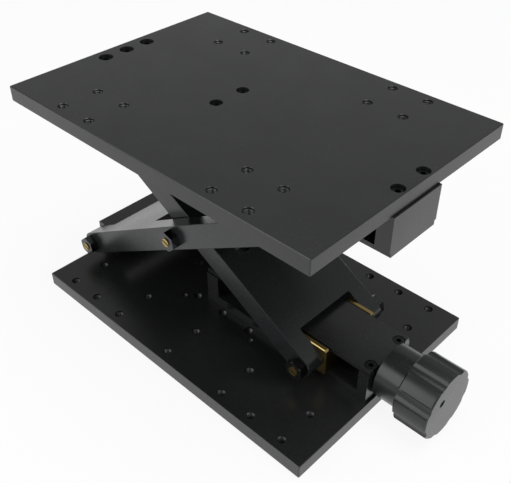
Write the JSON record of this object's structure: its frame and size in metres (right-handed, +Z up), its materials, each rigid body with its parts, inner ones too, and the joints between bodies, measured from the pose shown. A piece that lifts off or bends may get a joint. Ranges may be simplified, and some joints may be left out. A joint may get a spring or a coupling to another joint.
{
  "type": "vertical translation stage",
  "caption": "Scissor lab jack: tapped base and table plates, forked arms, slide rails and a lead screw turned by a fluted knob that raises the table level.",
  "frame": {"origin": "centre of the base plate's underside", "axes": "+X along the plates' long side towards the knob, +Z up, +Y completes the frame"},
  "size_m": [0.2803, 0.165, 0.1592],
  "materials": {
    "base_black": "black anodised, satin",
    "table_black": "black anodised, satin",
    "bracket_black": "black anodised, satin",
    "rail_black": "black anodised, satin",
    "arm_black": "black anodised, satin",
    "knob_black": "black anodised, matt",
    "brass": "machined",
    "bronze": "machined bronze",
    "nut_steel": "dark plated",
    "dark_steel": "black oxide",
    "screw_steel": "ground",
    "bearing_steel": "ground bright"
  },
  "bodies": {
    "base": {"base_plate": "base_black", "lower_bracket": "bracket_black", "lower_bracket_screws": "dark_steel", "lower_rail": "rail_black", "lower_rail_cover": "rail_black", "lower_rail_screws": "dark_steel", "lower_pivot_studs": "brass", "lower_pivot_nuts": "nut_steel", "lower_pivot_washers": "brass", "bearing_outer_rings": "bearing_steel"},
    "drive": {"lead_screw": "screw_steel", "bearing_inner_rings": "bearing_steel", "lead_screw_collar": "dark_steel", "knob_spacer": "screw_steel", "knob": "knob_black", "knob_set_screw": "dark_steel"},
    "outer_arm_body": {"outer_arm": "arm_black", "outer_arm_bushes": "bronze"},
    "inner_arm_body": {"inner_arm": "arm_black", "inner_arm_bushes": "bronze", "centre_studs": "brass", "centre_nuts": "nut_steel", "centre_washers": "brass"},
    "lower_slide": {"nut_block": "dark_steel", "lower_shoes": "brass", "lower_slide_studs": "brass", "lower_slide_nuts": "nut_steel"},
    "upper_slide": {"cross_shaft": "brass", "upper_shoes": "brass", "cross_shaft_sleeves": "screw_steel", "cross_shaft_nuts": "nut_steel"},
    "table": {"top_plate": "table_black", "upper_bracket": "bracket_black", "upper_bracket_screws": "dark_steel", "upper_rail": "rail_black", "upper_rail_cover": "rail_black", "upper_rail_screws": "dark_steel", "upper_cover_screws": "dark_steel", "upper_pivot_studs": "brass", "upper_pivot_nuts": "nut_steel", "upper_pivot_washers": "brass"}
  },
  "joints": [
    {"name": "lift", "type": "hinge", "parent": "base", "child": "outer_arm_body", "pos_m": [-0.1105, 0, 0.0245], "axis": [0, -1, 0], "range_deg": [-12.67, 27.93]},
    {"name": "scissor_pivot", "type": "hinge", "parent": "outer_arm_body", "child": "inner_arm_body", "pos_m": [-0.01587, 0, 0.0796], "axis": [0, -1, 0], "range_deg": [-55.96, 25.44]},
    {"name": "table_pivot", "type": "hinge", "parent": "inner_arm_body", "child": "table", "pos_m": [-0.1105, 0, 0.1347], "axis": [0, -1, 0], "range_deg": [-12.72, 27.98]},
    {"name": "lower_slide_pivot", "type": "hinge", "parent": "inner_arm_body", "child": "lower_slide", "pos_m": [0.07875, 0, 0.0245], "axis": [0, -1, 0], "range_deg": [-12.72, 27.98]},
    {"name": "upper_slide_pivot", "type": "hinge", "parent": "outer_arm_body", "child": "upper_slide", "pos_m": [0.07875, 0, 0.1347], "axis": [0, -1, 0], "range_deg": [-27.98, 12.72]},
    {"name": "knob_turn", "type": "hinge", "parent": "base", "child": "drive", "pos_m": [0.12, 0, 0.0245], "axis": [1, 0, 0], "range_deg": [-3496, 7700]}
  ],
  "couplings": [
    {"joint": "scissor_pivot", "follows": "lift", "ratio": -2},
    {"joint": "table_pivot", "follows": "lift", "ratio": 1},
    {"joint": "lower_slide_pivot", "follows": "lift", "ratio": 1},
    {"joint": "upper_slide_pivot", "follows": "lift", "ratio": -1},
    {"joint": "knob_turn", "follows": "lift", "ratio": 275.5}
  ]
}
